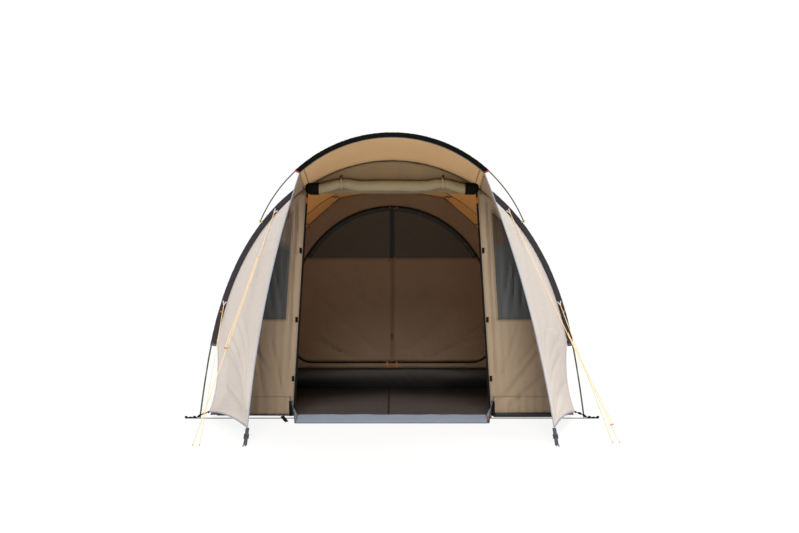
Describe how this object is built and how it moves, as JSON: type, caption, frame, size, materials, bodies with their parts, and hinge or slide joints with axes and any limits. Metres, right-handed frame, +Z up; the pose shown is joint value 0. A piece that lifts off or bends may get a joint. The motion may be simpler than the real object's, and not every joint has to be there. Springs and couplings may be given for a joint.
{
  "type": "tunnel tent",
  "caption": "Tunnel tent on sprung hoops with a brow canopy, pegged porch wings, a rolled-up door, a zipped inner tent and guy lines.",
  "frame": {"origin": "on the ground under the middle of the front hoop, at the underside of the front base strap", "axes": "+Z up, -Y towards someone standing in front of the door, +X to their right"},
  "size_m": [3.23, 4.9022, 2.1263],
  "materials": {
    "fibreglass": "olive-grey rod, satin",
    "sleeve_charcoal": "woven, matt",
    "sleeve_black": "woven, matt",
    "polycotton_pale": "plain weave, matt, lets light through",
    "polycotton_tan": "plain weave, matt, lets light through",
    "polycotton_taupe": "plain weave, matt",
    "window_film": "smoked film",
    "groundsheet": "coated, slight sheen",
    "bathtub": "coated, matt",
    "inner_brown": "thin breathable weave",
    "webbing_black": "ribbed webbing",
    "webbing_white": "narrow tape",
    "webbing_yellow": "stiff webbing",
    "plastic_black": "moulded",
    "zip_black": "coil zip on tape",
    "orange": "moulded or moulded over cord",
    "guy_orange": "braided cord"
  },
  "bodies": {
    "tent": {"front_hoop_pole": "fibreglass", "middle_hoop_pole": "fibreglass", "rear_hoop_pole": "fibreglass", "brow_pole": "fibreglass", "front_hoop_sleeve": "sleeve_charcoal", "middle_hoop_sleeve": "sleeve_charcoal", "rear_hoop_sleeve": "sleeve_charcoal", "brow_sleeve": "sleeve_black", "roof_front_bay": "polycotton_pale", "roof_rear_bay": "polycotton_pale", "rear_wall": "polycotton_pale", "wing_left": "polycotton_pale", "wing_right": "polycotton_pale", "canopy": "polycotton_tan", "front_wall_header": "polycotton_taupe", "front_wall_left": "polycotton_taupe", "front_wall_right": "polycotton_taupe", "door_roll": "polycotton_taupe", "window_left": "window_film", "window_right": "window_film", "groundsheet": "groundsheet", "inner_floor": "bathtub", "inner_roof": "inner_brown", "inner_front_wall": "inner_brown", "inner_leaf_left": "inner_brown", "inner_leaf_right": "inner_brown", "door_zip_left": "zip_black", "door_zip_right": "zip_black", "inner_door_zip": "zip_black", "inner_centre_zip": "zip_black", "wing_buckle_left": "plastic_black", "wing_buckle_right": "plastic_black", "front_base_strap": "webbing_black", "middle_base_strap": "webbing_black", "rear_base_strap": "webbing_black", "wing_strap_left": "webbing_black", "wing_strap_right": "webbing_black", "guy_strap_upper_left": "webbing_white", "guy_strap_upper_right": "webbing_white", "guy_strap_lower_left": "webbing_white", "guy_strap_lower_right": "webbing_white", "brow_tab_left": "webbing_yellow", "brow_tab_right": "webbing_yellow", "guy_upper_left": "guy_orange", "guy_upper_right": "guy_orange", "guy_lower_left": "guy_orange", "guy_lower_right": "guy_orange", "guy_return_left": "guy_orange", "guy_return_right": "guy_orange"},
    "door_slider_left": {"door_slider_left": "plastic_black"},
    "door_pull_left": {"door_pull_left": "orange"},
    "inner_slider_left": {"inner_slider_left": "orange"},
    "guy_runner_upper_left": {"guy_runner_upper_left": "orange"},
    "guy_runner_lower_left": {"guy_runner_lower_left": "orange"},
    "door_slider_right": {"door_slider_right": "plastic_black"},
    "door_pull_right": {"door_pull_right": "orange"},
    "inner_slider_right": {"inner_slider_right": "orange"},
    "guy_runner_upper_right": {"guy_runner_upper_right": "orange"},
    "guy_runner_lower_right": {"guy_runner_lower_right": "orange"},
    "inner_centre_slider": {"inner_centre_slider": "orange"}
  },
  "joints": [
    {"name": "door_slider_left_slide", "type": "slide", "parent": "tent", "child": "door_slider_left", "axis": [-0.0602, 0, -0.9982], "range_m": [0, 1.66]},
    {"name": "door_pull_left_swing", "type": "hinge", "parent": "door_slider_left", "child": "door_pull_left", "pos_m": [-0.66405, -0.0065, 1.72436], "axis": [1, 0, 0], "range_deg": [-120, 0]},
    {"name": "inner_slider_left_slide", "type": "slide", "parent": "tent", "child": "inner_slider_left", "axis": [-1, 0, 0], "range_m": [0, 0.7]},
    {"name": "door_slider_right_slide", "type": "slide", "parent": "tent", "child": "door_slider_right", "axis": [0.0602, 0, -0.9982], "range_m": [0, 1.66]},
    {"name": "door_pull_right_swing", "type": "hinge", "parent": "door_slider_right", "child": "door_pull_right", "pos_m": [0.66405, -0.0065, 1.72436], "axis": [1, 0, 0], "range_deg": [-120, 0]},
    {"name": "inner_slider_right_slide", "type": "slide", "parent": "tent", "child": "inner_slider_right", "axis": [1, 0, 0], "range_m": [0, 0.7]},
    {"name": "inner_centre_slider_slide", "type": "slide", "parent": "tent", "child": "inner_centre_slider", "axis": [0, 0, 1], "range_m": [-0.25, 1.2]},
    {"name": "guy_runner_upper_left_slide", "type": "slide", "parent": "tent", "child": "guy_runner_upper_left", "axis": [-0.2077, -0.5204, -0.8283], "range_m": [-0.72, 0.68], "deforming": ["guy_return_left"]},
    {"name": "guy_runner_lower_left_slide", "type": "slide", "parent": "tent", "child": "guy_runner_lower_left", "axis": [0.0263, -0.7507, -0.6602], "range_m": [-0.03, 1.2]},
    {"name": "guy_runner_upper_right_slide", "type": "slide", "parent": "tent", "child": "guy_runner_upper_right", "axis": [0.3142, -0.4716, -0.824], "range_m": [-0.68, 0.09], "deforming": ["guy_return_right"]},
    {"name": "guy_runner_lower_right_slide", "type": "slide", "parent": "tent", "child": "guy_runner_lower_right", "axis": [0.1351, -0.7128, -0.6882], "range_m": [-0.03, 1.15]}
  ]
}
